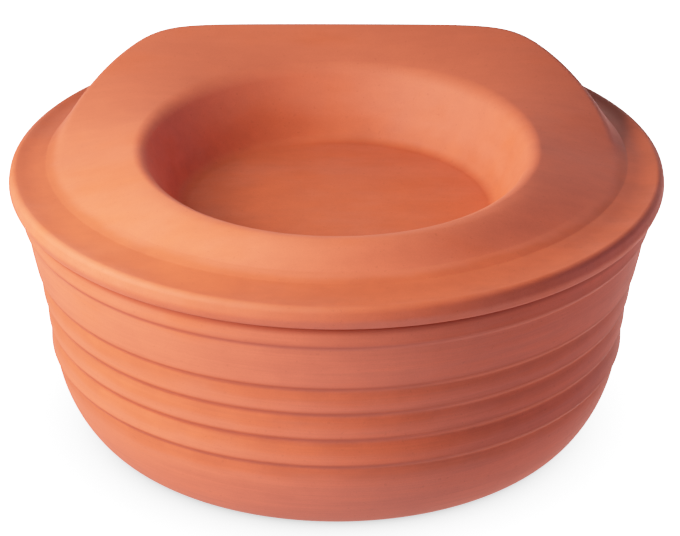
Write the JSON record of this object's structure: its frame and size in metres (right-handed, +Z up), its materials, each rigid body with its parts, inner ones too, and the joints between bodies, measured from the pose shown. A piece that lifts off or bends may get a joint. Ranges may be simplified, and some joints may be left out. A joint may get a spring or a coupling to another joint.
{
  "type": "round roaster",
  "caption": "Round unglazed clay roaster: a banded, bowl-bottomed pot and a loose lid with a sunk dish and a crown raised at the back to a straight edge.",
  "frame": {"origin": "middle of the pot's flat foot, on the surface that it stands on", "axes": "+Z up, along the axis that both pieces are turned about; +Y towards the lid's raised straight edge"},
  "size_m": [0.264, 0.264, 0.1347],
  "materials": {
    "pot_clay": "matt unglazed fired clay",
    "lid_clay": "matt unglazed fired clay"
  },
  "bodies": {
    "pot": {"pot": "pot_clay"},
    "lid": {"lid": "lid_clay"}
  },
  "joints": [
    {"name": "lid_lift", "type": "slide", "parent": "pot", "child": "lid", "axis": [0, 0, 1], "range_m": [0, 0.12]}
  ]
}
